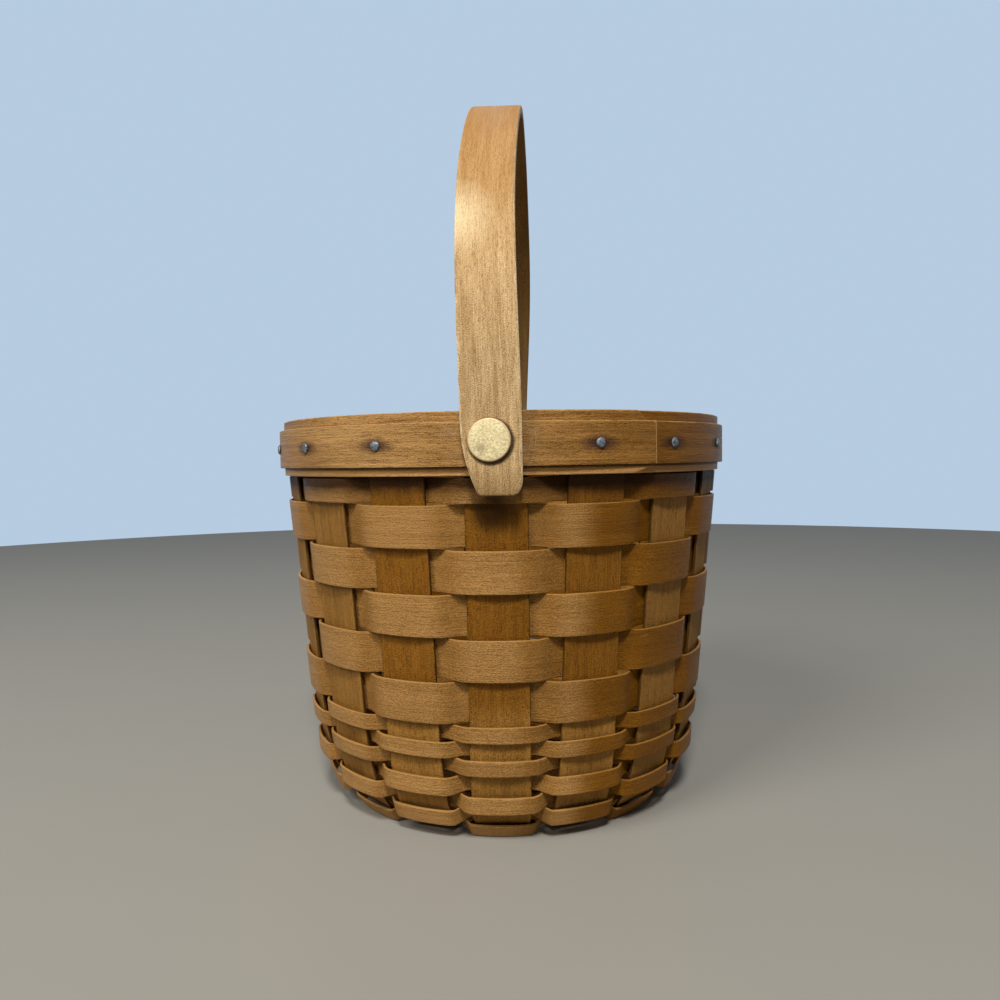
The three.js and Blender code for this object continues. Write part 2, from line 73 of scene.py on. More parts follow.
# Floor, light and world
# A plain pale floor and two soft lamps, high in front and high at the left. The world gives the rest of
# the light, and the pale background that the camera and the glossy surfaces see.
floor_colour = (0.315, 0.299, 0.262, 1)
floor_speck_lift = 1.04
floor_reach = 1.2
floor_corners = 96
world_light = 0.07
world_colour = (1.0, 0.88, 0.68, 1)
backdrop_colour = (0.47, 0.60, 0.75, 1)
lamps = {
    "left": {"place": (-0.79, -0.88, 1.03), "size": 0.6, "watts": 12.0, "colour": (1.0, 0.98, 0.94)},
    "front": {"place": (0.03, -0.99, 1.23), "size": 0.25, "watts": 18.2, "colour": (1.0, 0.98, 0.95)},
}
lamp_target = Vector((0, 0, 0.12))


def new_material(name):
    made = bpy.data.materials.new(name)
    made.use_nodes = True
    made.node_tree.nodes.clear()
    return made, made.node_tree


def add_node(tree, kind, settings=None, **sockets):
    """A node of that kind with its settings, and with a value or a link for each input socket: by its name,
    or by its number as n0, n1 and so on."""
    made = tree.nodes.new(kind)
    for key, value in (settings or {}).items():
        setattr(made, key, value)
    for key, value in sockets.items():
        target = made.inputs[int(key[1:]) if key[0] == "n" else key.replace("_", " ")]
        if isinstance(value, bpy.types.NodeSocket):
            tree.links.new(value, target)
        else:
            target.default_value = value
    return made


def maths(tree, operation, *values, clamp=False):
    numbered = {f"n{i}": value for i, value in enumerate(values)}
    settings = {"operation": operation, "use_clamp": clamp}
    return add_node(tree, "ShaderNodeMath", settings, **numbered).outputs[0]


def mixed(tree, share, first, second):
    """The first colour with a share of the second, from 0 to 1, in its place."""
    settings = {"data_type": "RGBA"}
    return add_node(tree, "ShaderNodeMix", settings, n0=share, n6=first, n7=second).outputs[2]


def add_shader(tree, **sockets):
    shader = add_node(tree, "ShaderNodeBsdfPrincipled", **sockets)
    add_node(tree, "ShaderNodeOutputMaterial", Surface=shader.outputs[0])


floor_mesh = bpy.data.meshes.new("floor")
floor_turns = [2 * math.pi * i / floor_corners for i in range(floor_corners)]
floor_edge = [(floor_reach * math.cos(turn), floor_reach * math.sin(turn), 0) for turn in floor_turns]
floor_mesh.from_pydata(floor_edge, [], [range(floor_corners)])
floor = add_object("floor", floor_mesh)
floor_paint, tree = new_material("floor_paint")
floor_speck = add_node(tree, "ShaderNodeTexNoise", Scale=60.0, Detail=3.0).outputs["Fac"]
speck_colour = tuple(c * floor_speck_lift for c in floor_colour[:3]) + (1,)
add_shader(tree, Base_Color=mixed(tree, floor_speck, floor_colour, speck_colour), Roughness=0.7)
floor_mesh.materials.append(floor_paint)

for lamp_name, lamp in lamps.items():
    lamp_data = bpy.data.lights.new(lamp_name, "AREA")
    lamp_data.size = lamp["size"]
    lamp_data.energy = lamp["watts"]
    lamp_data.color = lamp["colour"]
    lamp_object = add_object(lamp_name, lamp_data)
    lamp_object.location = lamp["place"]
    lamp_object.rotation_euler = (lamp_target - lamp_object.location).to_track_quat("-Z", "Y").to_euler()

world = bpy.data.worlds.new("world")
world.use_nodes = True
world.node_tree.nodes.clear()
tree = world.node_tree
rays = add_node(tree, "ShaderNodeLightPath")
lit = add_node(tree, "ShaderNodeBackground", Color=world_colour, Strength=world_light)
seen = add_node(tree, "ShaderNodeBackground", Color=backdrop_colour, Strength=1.0)
sees_backdrop = maths(tree, "MAXIMUM", rays.outputs["Is Camera Ray"], rays.outputs["Is Glossy Ray"])
sees_backdrop = maths(tree, "MAXIMUM", sees_backdrop, rays.outputs["Is Transmission Ray"])
which = add_node(tree, "ShaderNodeMixShader", n0=sees_backdrop, n1=lit.outputs[0], n2=seen.outputs[0])
add_node(tree, "ShaderNodeOutputWorld", Surface=which.outputs[0])
bpy.context.scene.world = world
bpy.context.scene.view_settings.view_transform = "Standard"


# Splints
# Eight strips of maple, 19 mm wide and 0.9 mm thick, stained brown, with painted light that makes them
# paler at the basket's sides and back and at its foot. Each runs up one wall, across under the base and up
# the opposite wall, so they make the sixteen uprights.
mm = 0.001
splint_count = 8
splint_width = 19.05 * mm
splint_thickness = 0.9 * mm
splint_hub_width = 6.5 * mm
splint_flare = 0.27
splint_widening = 15.0 * mm
weave_turn = 1.0  # degrees
hub_radius = 16.8 * mm
hub_ease = 11.2 * mm
hub_clearance = 0.1 * mm
splint_step = 2.0 * mm
splint_unevenness = 0.12 * mm
edge_rounding = 0.2 * mm
edge_corner = 0.3  # of the rounding, where a section's corner is cut
edge_hold = 2.5  # times the rounding, from the edge to the flat of the face

weave_clearance = 0.25 * mm
weaver_thickness = 0.9 * mm
rim_height = 136.5 * mm
band_height = 19.05 * mm
band_bottom = rim_height - band_height
splint_set_down = 0.6 * mm
wall_radius_at_rim = 79.0 * mm
wall_taper = 0.087
knee_height = 38.0 * mm
knee_radius = wall_radius_at_rim - wall_taper * (band_bottom - knee_height)
knee_reach = 20.0 * mm
foot_radius = 53.5 * mm
foot_reach = 11.5 * mm
flat_ring_inner = foot_radius - 5.6 * mm
flat_ring_height = splint_thickness / 2 + weave_clearance + weaver_thickness
dome_rise = 4.0 * mm
dome_top_share = 0.45
dome_edge_share = 0.8
dome_edge_lift = 0.9 * mm

upright_count = 2 * splint_count
upright_pitch = 360 / upright_count


def bezier(a, b, c, d, steps=60):
    t = np.linspace(0, 1, steps)[:, None]
    a, b, c, d = (np.array(p) for p in (a, b, c, d))
    return (1 - t) ** 3 * a + 3 * (1 - t) ** 2 * t * b + 3 * (1 - t) * t ** 2 * c + t ** 3 * d


# The line that the middle of every splint follows, as radius and height, from the middle of the base out
dome = bezier(
    (0, flat_ring_height + dome_rise),
    (flat_ring_inner * dome_top_share, flat_ring_height + dome_rise),
    (flat_ring_inner * dome_edge_share, flat_ring_height + dome_edge_lift),
    (flat_ring_inner, flat_ring_height),
)
foot = bezier(
    (foot_radius, flat_ring_height),
    (foot_radius + foot_reach, flat_ring_height),
    (knee_radius - wall_taper * knee_reach, knee_height - knee_reach),
    (knee_radius, knee_height),
)
wall = np.array([(wall_radius_at_rim, band_bottom), (wall_radius_at_rim, rim_height - splint_set_down)])
line = np.concatenate([dome, foot, wall])
line_arcs = np.concatenate([[0], np.cumsum(np.hypot(*np.diff(line, axis=0).T))])
arc_at_flat_end = line_arcs[len(dome)]
arc_at_band = line_arcs[-2]
arc_at_top = line_arcs[-1]


def on_line(arc):
    """Radius and height at an arc length, with the direction along the line and the one out of it."""
    def place(s):
        return np.array([np.interp(s, line_arcs, line[:, 0]), np.interp(s, line_arcs, line[:, 1])])
    reach = 0.4 * mm
    along = place(min(arc + reach, arc_at_top)) - place(max(arc - reach, 0))
    along = along / np.hypot(*along)
    return place(arc), along, np.array([along[1], -along[0]])


def around(angle, radius, height):
    """The point at an angle in degrees from the front (-Y) towards +X."""
    a = math.radians(angle)
    return np.array([radius * math.sin(a), -radius * math.cos(a), height])


def ease(x, low, high):
    t = min(max((x - low) / (high - low), 0), 1)
    return t * t * (3 - 2 * t)


def splint_width_at(radius, arc):
    across_base = max(splint_hub_width, splint_flare * min(radius, foot_radius))
    widened = ease(arc, arc_at_flat_end, arc_at_flat_end + splint_widening)
    return across_base + (splint_width - across_base) * widened


def wander(seed, size, waves=(1, 2, 3, 5)):
    """A smooth uneven line within size: a function of turns round the basket, or of any length."""
    draw = random.Random(seed)
    parts = [(w, draw.uniform(0, 2 * math.pi), draw.uniform(0.4, 1)) for w in waves]
    total = sum(p[2] for p in parts)
    return lambda x: size * sum(s * math.sin(2 * math.pi * w * x + p) for w, p, s in parts) / total


def closed_mesh(name, points, faces):
    """A smooth mesh with its faces turned outward."""
    mesh = bpy.data.meshes.new(name)
    mesh.from_pydata([tuple(p) for p in points], [], faces)
    mesh.shade_smooth()
    mesh.update()
    mesh.calc_loop_triangles()
    v = [p.co for p in mesh.vertices]
    if sum(v[a].dot(v[b].cross(v[c])) for a, b, c in (t.vertices for t in mesh.loop_triangles)) < 0:
        mesh.flip_normals()
    return mesh


def mark_points(mesh, name, values, kind="FLOAT"):
    key = "value" if kind == "FLOAT" else "vector"
    mesh.attributes.new(name, kind, "POINT").data.foreach_set(key, np.ravel(values))


def strip_mesh(name, stations, seed, rounding=edge_rounding):
    """A thin wood strip with rounded edges. A station is (middle, across, outward, low, high, thickness,
    run, painted light): low and high are the edges' places along the direction across, run is the length
    along the strip, and the painted light is how much painted light or shade it takes there, from 0 to 1.
    The grain attribute holds the length along, the place across and the depth, edge runs from -1 to 1 across
    and is 1 at both ends, and side is 1 outside and -1 inside."""
    draw = random.Random(seed)
    shift = Vector((draw.uniform(0, 9), draw.uniform(0, 9), draw.uniform(0, 9)))
    tint = draw.uniform(-1, 1)
    hold = edge_hold * rounding
    points, grain, edge, painted_lights, sides = [], [], [], [], []
    for place, (middle, across, outward, low, high, thickness, run, rub) in enumerate(stations):
        at_end = place < 2 or place >= len(stations) - 2
        half = thickness / 2
        middle_across = (low + high) / 2
        inner = [low + rounding, low + hold, middle_across, high - hold, high - rounding]
        corner = edge_corner * rounding
        section = [(a, half) for a in inner]
        section += [(high - corner, half - corner), (high, half - rounding), (high, rounding - half)]
        section += [(high - corner, corner - half)]
        section += [(a, -half) for a in reversed(inner)]
        section += [(low + corner, corner - half), (low, rounding - half), (low, half - rounding)]
        section += [(low + corner, half - corner)]
        for a, b in section:
            points.append(middle + a * across + b * outward)
            grain.append((run + shift.x, a + shift.y, b + shift.z))
            # Both ends count as bare edge, so they take the painted highlight of the end grain.
            edge.append(1.0 if at_end else 2 * (a - low) / (high - low) - 1)
            painted_lights.append(rub)
            sides.append(b / half)
    ring = len(section)
    faces = []
    count = len(stations)
    for i in range(count - 1):
        for k in range(ring):
            after = (k + 1) % ring
            faces.append((i * ring + k, i * ring + after, (i + 1) * ring + after, (i + 1) * ring + k))
    faces.append(tuple(range(ring - 1, -1, -1)))
    faces.append(tuple((count - 1) * ring + k for k in range(ring)))
    mesh = closed_mesh(name, points, faces)
    for end in mesh.polygons[-2:]:
        end.use_smooth = False
    mark_points(mesh, "grain", grain, "FLOAT_VECTOR")
    tints = [tint] * len(points)
    for mark, values in (("edge", edge), ("rub", painted_lights), ("side", sides), ("tint", tints)):
        mark_points(mesh, mark, values)
    return mesh


def node_group(name, inputs, outputs):
    """A shader node group with these named sockets; a number gives a float socket and None a vector."""
    made = bpy.data.node_groups.new(name, "ShaderNodeTree")
    for socket, value in inputs.items():
        kind = "NodeSocketVector" if value is None else "NodeSocketFloat"
        item = made.interface.new_socket(socket, in_out="INPUT", socket_type=kind)
        if value is not None:
            item.default_value = value
    for socket in outputs:
        made.interface.new_socket(socket, in_out="OUTPUT", socket_type="NodeSocketFloat")
    return made, made.nodes.new("NodeGroupInput").outputs, made.nodes.new("NodeGroupOutput").inputs


def attribute(tree, name, socket="Fac"):
    return add_node(tree, "ShaderNodeAttribute", {"attribute_name": name}).outputs[socket]


def basket_place(tree):
    return add_node(tree, "ShaderNodeTexCoord").outputs["Object"]


def split(tree, vector):
    return add_node(tree, "ShaderNodeSeparateXYZ", Vector=vector).outputs


def times(tree, first, second):
    return maths(tree, "MULTIPLY", first, second)


def noise(tree, vector, waves, detail=3.0, roughness=0.55, distortion=0.0):
    """Noise with about so many waves in a metre along each of the vector's three directions."""
    stretched = add_node(tree, "ShaderNodeVectorMath", {"operation": "MULTIPLY"}, n0=vector, n1=waves)
    return add_node(
        tree, "ShaderNodeTexNoise", Vector=stretched.outputs[0], Scale=1.0, Detail=detail,
        Roughness=roughness, Distortion=distortion,
    ).outputs["Fac"]


def ramp(tree, value, low, high, to_low=0.0, to_high=1.0):
    """The value taken from the range low to high to another range, and held at its ends."""
    ranges = {"From_Min": low, "From_Max": high, "To_Min": to_low, "To_Max": to_high}
    return add_node(tree, "ShaderNodeMapRange", {"clamp": True}, Value=value, **ranges).outputs[0]


def hypotenuse(tree, beside, above):
    square = maths(tree, "MULTIPLY_ADD", beside, beside, times(tree, above, above))
    return maths(tree, "SQRT", square)


def distance_from(tree, place, middle):
    """How far a place on the basket is from a middle (x, z), seen from the front."""
    parts = split(tree, place)
    beside = maths(tree, "SUBTRACT", parts["X"], middle[0])
    above = maths(tree, "SUBTRACT", parts["Z"], middle[1])
    return hypotenuse(tree, beside, above)


def build_grain():
    """Maple grain from the grain attribute: long fibres, short dark flecks, broad tone, a fine speckle and
    scuffs. Shortness shortens the fibres and the flecks."""
    tree, start, end = node_group(
        "maple_grain", {"Grain": None, "Shortness": 1.0}, ["Fibre", "Fleck", "Tone", "Speckle", "Scuff"],
    )
    grain = start["Grain"]
    parts = split(tree, grain)
    along = times(tree, parts["X"], start["Shortness"])
    streaks = add_node(tree, "ShaderNodeCombineXYZ", X=along, Y=parts["Y"], Z=parts["Z"]).outputs[0]
    fine = noise(tree, streaks, (70, 2300, 900), detail=5.0, roughness=0.62)
    broad = noise(tree, streaks, (24, 560, 300))
    fibres = maths(tree, "ADD", times(tree, fine, fine_share), times(tree, broad, 1 - fine_share))
    flecks = noise(tree, streaks, (420, 3600, 1500), detail=2.0, roughness=0.5)
    tone = noise(tree, grain, (30, 90, 90))
    speckle = noise(tree, grain, (2300, 2700, 2300), detail=1.0, roughness=0.6)
    scuffs = noise(tree, grain, (150, 420, 300), detail=5.0, roughness=0.65)
    tree.links.new(ramp(tree, fibres, 0.38, 0.62), end["Fibre"])
    tree.links.new(ramp(tree, flecks, 0.57, 0.70), end["Fleck"])
    tree.links.new(ramp(tree, tone, 0.36, 0.64), end["Tone"])
    tree.links.new(ramp(tree, speckle, 0.40, 0.60), end["Speckle"])
    tree.links.new(ramp(tree, scuffs, 0.60, 0.72), end["Scuff"])
    return tree


def build_edge_wear_and_light():
    """Edge wear with painted light on it, along the long edges of a strip and at its ends: a painted
    highlight on most pieces and a painted dark line on the uprights. 1 on the bare edge, broken up by noise.
    """
    tree, start, end = node_group("worn_edges", {"Grain": None, "Edge": 0.0, "Reach": 0.1}, ["Worn"])
    distance = maths(tree, "SUBTRACT", 1.0, maths(tree, "ABSOLUTE", start["Edge"]))
    patches = noise(tree, start["Grain"], (260, 500, 300), detail=4.0)
    reach = times(tree, start["Reach"], ramp(tree, patches, 0.35, 0.7, 0.15, 1.7))
    worn = maths(tree, "SUBTRACT", 1.0, maths(tree, "DIVIDE", distance, reach), clamp=True)
    tree.links.new(worn, end["Worn"])
    return tree


def build_wall_shade():
    """Painted shade on the wall just under the bands, and a painted shadow on it behind the ends of the
    handle's legs."""
    tree, start, end = node_group(
        "wall_grime", {"Place": None, "Grain": None}, ["Under Bands", "Behind Legs"],
    )
    # Painted shade under the bands, darkest just below them, with a ragged lower edge.
    patches = noise(tree, start["Grain"], (120, 240, 240))
    height = maths(tree, "MULTIPLY_ADD", patches, under_band_shade_raggedness, split(tree, start["Place"])["Z"])
    under = maths(tree, "POWER", ramp(tree, height, under_band_shade_start, under_band_shade_end), 2.0)
    tree.links.new(times(tree, under, under_band_shade_share), end["Under Bands"])
    # A painted shadow of each leg's end, a round dark patch on the wall below it.
    behind = distance_from(tree, start["Place"], (0, leg_shadow_height))
    behind = ramp(tree, behind, leg_shadow_reach, leg_shadow_core, 0.0, leg_shadow_share)
    tree.links.new(behind, end["Behind Legs"])
    return tree


def srgb(*levels):
    """A colour given as it looks on a screen, from 0 to 255, as Blender's linear one."""
    shares = [level / 255 for level in levels]
    return tuple(s / 12.92 if s <= 0.04045 else ((s + 0.055) / 1.055) ** 2.4 for s in shares) + (1,)


fine_share = 0.55
tone_share = 0.22
tint_share = 0.12
scuff_share = 0.22
shine_spread = (-0.07, 0.1)
speckle_relief = 0.9
grain_relief = 0.9
grain_depth = 0.12 * mm
fibre_sheen = (1.0, 0.76, 0.46, 1)
sheen_stretch = 0.7
# Painted shade: the dark colour painted under the bands, behind the legs' ends, in the corner under the trim
# and round the rivets' heads.
painted_shade = srgb(42, 19, 4)
under_band_shade_start = band_bottom - 9.0 * mm
under_band_shade_end = band_bottom - 1.5 * mm
under_band_shade_raggedness = 3.0 * mm
under_band_shade_share = 0.95
# Where the painted shadow of a leg's end lies on the wall, and how far it spreads.
leg_shadow_height = 107.5 * mm
leg_shadow_reach = 8.2 * mm
leg_shadow_core = 3.28 * mm
leg_shadow_share = 0.8

grain_group = build_grain()
edge_wear_and_light_group = build_edge_wear_and_light()
wall_shade_group = build_wall_shade()


def placed(tree, group, **sockets):
    return add_node(tree, "ShaderNodeGroup", {"node_tree": group}, **sockets).outputs


def stained_maple(name, pale, deep, fleck, worn, reach, bare, marks, painted_lights=None, roughness=0.42, gloss=0.12,
                  sheen_turn=0.0, fibres=0.42, speckle=0.3, flecks=0.5, shortness=1.0):
    """Stained and varnished maple: pale and deep are the colours of its fibres, and the second pair is the
    paler
    one that painted light gives it: a painted sheen on the weavers and bands, paler uprights at the sides
    and foot. Reach is how far the edge wear and its painted light come in from the edges, and bare how
    strong it is; fibres, speckle and flecks are the strengths of the grain's parts, and marks adds what is
    peculiar to one piece. Sheen_turn is 0.25 for a sheen across fibres that run round the basket, and 0 for
    fibres that run up."""
    material, tree = new_material(name)
    grain_in = attribute(tree, "grain", "Vector")
    grain = placed(tree, grain_group, Grain=grain_in, Shortness=shortness)
    edges = placed(tree, edge_wear_and_light_group, Grain=grain_in, Edge=attribute(tree, "edge"), Reach=reach)
    shade = times(tree, grain["Fibre"], fibres)
    shade = maths(tree, "MULTIPLY_ADD", grain["Tone"], tone_share, shade)
    shade = maths(tree, "MULTIPLY_ADD", grain["Speckle"], speckle, shade)
    shade = maths(tree, "MULTIPLY_ADD", attribute(tree, "tint"), tint_share, shade, clamp=True)
    colour = mixed(tree, shade, deep, pale)
    # Painted light: where the attribute asks for it, the colour moves to the second, paler pair.
    if painted_lights:
        colour = mixed(tree, attribute(tree, "rub"), colour, mixed(tree, shade, painted_lights[1], painted_lights[0]))
    colour = mixed(tree, times(tree, grain["Fleck"], flecks), colour, fleck)
    colour = mixed(tree, times(tree, grain["Scuff"], scuff_share), colour, worn)
    colour = mixed(tree, times(tree, edges["Worn"], bare), colour, worn)
    colour = marks(tree, colour, grain_in)
    rough = ramp(tree, grain["Speckle"], 0.0, 1.0, *(roughness + spread for spread in shine_spread))
    height = maths(tree, "MULTIPLY_ADD", grain["Speckle"], speckle_relief, grain["Fibre"])
    height = maths(tree, "SUBTRACT", height, grain["Fleck"])
    bump = add_node(tree, "ShaderNodeBump", Height=height, Strength=grain_relief, Distance=grain_depth)
    add_shader(
        tree, Base_Color=colour, Roughness=rough, Normal=bump.outputs[0], Specular_IOR_Level=gloss,
        Specular_Tint=fibre_sheen, Anisotropic=sheen_stretch, Anisotropic_Rotation=sheen_turn,
    )
    return material


def shaded_wall(tree, colour, grain):
    # Painted shade under the bands and a painted shadow behind the legs' ends.
    wall_shading = placed(tree, wall_shade_group, Place=basket_place(tree), Grain=grain)
    colour = mixed(tree, wall_shading["Under Bands"], colour, painted_shade)
    return mixed(tree, wall_shading["Behind Legs"], colour, painted_shade)


def finish_piece(mesh, material, body="basket"):
    """The mesh as a piece of its name, which is a word for its material before the name of its solid."""
    mesh.materials.append(material)
    piece = add_object(mesh.name, mesh)
    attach(piece, body)
    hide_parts(mesh.name.split("_", 1)[1])


# The second, paler pair is the painted light at the sides, back and foot, and the dark edge colour is a
# painted shade along the uprights' edges.
upright_maple = stained_maple(
    "upright_maple", pale=srgb(150, 99, 32), deep=srgb(98, 60, 12), fleck=srgb(72, 42, 8),
    worn=srgb(56, 34, 10), painted_lights=(srgb(178, 129, 62), srgb(122, 84, 34)), reach=0.05, bare=0.85,
    roughness=0.46, gloss=0.15, marks=shaded_wall,
)

side_light_start = 24.0  # degrees from the front
side_light_end = 44.0
foot_light_start = 38.0 * mm
foot_light_end = 50.0 * mm


def upright_painted_light(angle, height):
    """How much painted light makes an upright paler, at an angle from -180 to 180 and a height."""
    at_side = ease(abs(angle), side_light_start, side_light_end)
    at_foot = 1 - ease(height, foot_light_start, foot_light_end)
    return max(at_side, at_foot)


for level in range(splint_count):
    angle = level * upright_pitch + weave_turn
    radial = around(angle, 1, 0)
    side = around(angle + 90, 1, 0)
    level_lift = (level - (splint_count - 1) / 2) * (splint_thickness + hub_clearance)
    uneven = wander(f"splint {level}", splint_unevenness, (2, 5, 9))
    stations = []
    steps = int(2 * arc_at_top / splint_step)
    for i in range(steps + 1):
        signed_arc = arc_at_top * (2 * i / steps - 1)
        arc, sign = abs(signed_arc), (1 if signed_arc >= 0 else -1)
        (radius, height), along, out = on_line(arc)
        lift = level_lift * (1 - ease(arc, hub_radius, hub_radius + hub_ease))
        middle = radial * sign * radius + np.array([0, 0, height + lift])
        outward = radial * sign * out[0] + np.array([0, 0, out[1]])
        half = splint_width_at(radius, arc) / 2 - abs(uneven(signed_arc / arc_at_top))
        # Painted light makes the uprights paler towards the sides and back and at the foot.
        side_and_foot_light = upright_painted_light(angle if sign > 0 else angle - 180, height)
        stations.append((middle, side, outward, -half, half, splint_thickness, signed_arc, side_and_foot_light))
    mesh = strip_mesh(f"wood_splint_{level + 1}", stations, f"splint {level}")
    finish_piece(mesh, upright_maple)


# Weavers
# Seventeen strips of the same maple, wound once each round the basket, over one upright and under the
# next, with lapped ends at the back. A painted sheen makes them paler than the uprights on the side that
# faces the front left, most where they bulge over an upright.
top_weaver_width = 7.7 * mm
narrow_weaver_width = 5.2 * mm
foot_weaver_width = 5.8 * mm
base_weaver_width = 5.2 * mm
foot_stance = math.radians(12)
base_row_count = 4
foot_row_count = 4
narrow_row_count = 3
wide_row_count = 5
lap_clearance = 0.25 * mm
weaver_bow = 1.0 * mm
row_gap = 0.55 * mm
narrow_row_gap = 0.25 * mm
foot_row_gap = 0.3 * mm
base_row_gap = 0.6 * mm
open_row_gap = 1.2 * mm
base_edge_margin = 0.2 * mm
corner_gap = 5.3 * mm
band_row_gap = 0.4 * mm
first_lap_upright = 5
lap_place_count = 3
weaver_edge_clearance = 0.4 * mm
layer_offset = splint_thickness / 2 + weave_clearance + weaver_thickness / 2
steps_per_upright = 16
bend_softness = 0.07  # of the pitch of the uprights
bend_delay = 0.05  # of the same
bend_samples = np.array((-1, -0.5, 0, 0.5, 1))
bulge_reach = 0.45  # of the same
weaver_unevenness = 0.1 * mm
weaver_slope = 12.0  # degrees, of the strip's face beside an upright
sheen_middle = -58.0  # degrees from the front
sheen_reach = 64.0
sheen_fade = 22.0
sheen_least = 0.6  # of the painted sheen, where a strip lies deep


def painted_sheen_side(angle):
    """How much painted sheen a place that faces that way takes: the front left most, the back right least.
    """
    away = abs((angle - sheen_middle + 180) % 360 - 180)
    return 1 - ease(away, sheen_reach, sheen_reach + sheen_fade)


def weaver_rows():
    """The rows from the middle of the base up: arc length of the lower edge, width, lapped uprights and
    stance."""
    rows = []
    bottom = arc_at_flat_end - base_edge_margin
    for i in range(base_row_count):
        rows.insert(0, (bottom - base_weaver_width, base_weaver_width, 1, 0))
        bottom -= base_weaver_width + base_row_gap
    bottom = arc_at_flat_end + corner_gap
    for count, width, gap, gap_after, lapped, stance in (
        (foot_row_count, foot_weaver_width, foot_row_gap, open_row_gap, 1, foot_stance),
        (narrow_row_count, narrow_weaver_width, narrow_row_gap, row_gap, 3, 0),
    ):
        for i in range(count):
            rows.append((bottom, width, lapped, stance))
            bottom += width + (gap if i < count - 1 else gap_after)
    top_row_bottom = arc_at_band - band_row_gap - top_weaver_width
    wide_pitch = (top_row_bottom - bottom) / wide_row_count
    for i in range(wide_row_count):
        rows.append((bottom + i * wide_pitch, wide_pitch - row_gap, 3, 0))
    rows.append((top_row_bottom, top_weaver_width, 3, 0))
    return rows


def weaver_stations(number, bottom, width, lapped, stance):
    (radius, height), along, out = on_line(bottom + width / 2)
    (low_radius, low_height), _, _ = on_line(bottom)
    (high_radius, high_height), _, _ = on_line(bottom + width)
    hollow = math.hypot(radius - (low_radius + high_radius) / 2, height - (low_height + high_height) / 2)
    half_upright = splint_width_at(high_radius, bottom + width) / 2 + weaver_edge_clearance
    bend = math.degrees(math.asin(half_upright / (low_radius + layer_offset)))
    edge_lift = radius * (1 / math.cos(math.radians(bend)) - 1) * max(0, out[0])
    second_layer = weaver_thickness + lap_clearance
    first_upright = first_lap_upright + 2 * (number // 2 % lap_place_count) + (1 if number % 2 == 0 else 0)
    turned = np.array([along[0] * math.cos(stance) - along[1] * math.sin(stance),
                       along[0] * math.sin(stance) + along[1] * math.cos(stance)])
    turned_out = np.array([turned[1], -turned[0]])

    def pass_at(i):
        """Offsets beside and over upright i, and which edge touches it: 1 for the top one."""
        outside = (first_upright + i + number) % 2 != 0
        extra = second_layer if (outside and i >= upright_count) else 0
        extra -= second_layer if (not outside and i < lapped) else 0
        if outside:
            return layer_offset + edge_lift + extra, layer_offset + weaver_bow * out[0] + extra, 1
        return -(layer_offset + 2 * hollow) + extra, -(layer_offset + 2 * hollow) + extra, -1

    last = upright_count + lapped - 1
    bend_share = bend / upright_pitch

    def offset_at(s):
        """The strip's offset from the uprights' middle and its held edge, at a place counted in uprights."""
        i = int(math.floor(s + 0.5))
        local = s - i
        if abs(local) <= bend_share:
            beside, over, held = pass_at(min(max(i, 0), last))
            return np.array([beside + (over - beside) * (1 - (local / bend_share) ** 2), held])
        before = i if local > 0 else i - 1
        start = before + bend_share + bend_delay
        end = before + 1 - bend_share - bend_delay
        first, second = (np.array(pass_at(k))[[0, 2]] for k in (before, before + 1))
        return first + (second - first) * ease(s, start, end)

    height_wander = wander(f"weaver height {number}", weaver_unevenness)
    width_wander = wander(f"weaver width {number}", weaver_unevenness, (2, 3, 7))
    stations = []
    places = np.arange(-bend_share, last + bend_share + 1e-6, 1 / steps_per_upright)
    run = 0
    previous = None
    for s in places:
        local = s - math.floor(s + 0.5)
        nearby = np.clip(s + bend_samples * bend_softness, places[0], places[-1])
        offset, held = sum(offset_at(place) for place in nearby) / len(nearby)
        angle = (first_upright + s) * upright_pitch + weave_turn
        shift = height_wander(angle / 360)
        centre = np.array([radius, height]) + out * offset + along * (held * width / 2 + shift)
        centre = centre - turned * held * width / 2
        middle = around(angle, centre[0], centre[1])
        across = around(angle, turned[0], turned[1])
        outward = around(angle, turned_out[0], turned_out[1])
        if previous is not None:
            run += float(np.linalg.norm(middle - previous))
        previous = middle
        half = width / 2 + width_wander(angle / 360)
        # Painted sheen: a strip is paler where its face turns towards the front left, and most on its
        # bulges.
        bulge = min(max(0, offset / layer_offset) * max(0, 1 - (local / bulge_reach) ** 2), 1)
        facing = angle + weaver_slope * local / bend_share * bulge
        rub = painted_sheen_side(facing) * (sheen_least + (1 - sheen_least) * bulge)
        stations.append((middle, across, outward, -half, half, weaver_thickness, run, rub))
    return stations


# The second, paler pair is where the painted sheen lies, and the edges take wear with a painted highlight.
weaver_maple = stained_maple(
    "weaver_maple", pale=srgb(142, 93, 24), deep=srgb(106, 65, 12), fleck=srgb(76, 44, 10),
    worn=srgb(180, 134, 74), painted_lights=(srgb(189, 142, 84), srgb(137, 99, 51)), reach=0.05, bare=0.5,
    sheen_turn=0.25, fibres=0.3, speckle=0.5, flecks=0.18, marks=shaded_wall,
)

for number, row in enumerate(weaver_rows(), start=1):
    name = f"wood_weaver_{number:02d}"
    mesh = strip_mesh(name, weaver_stations(number, *row), name)
    finish_piece(mesh, weaver_maple)


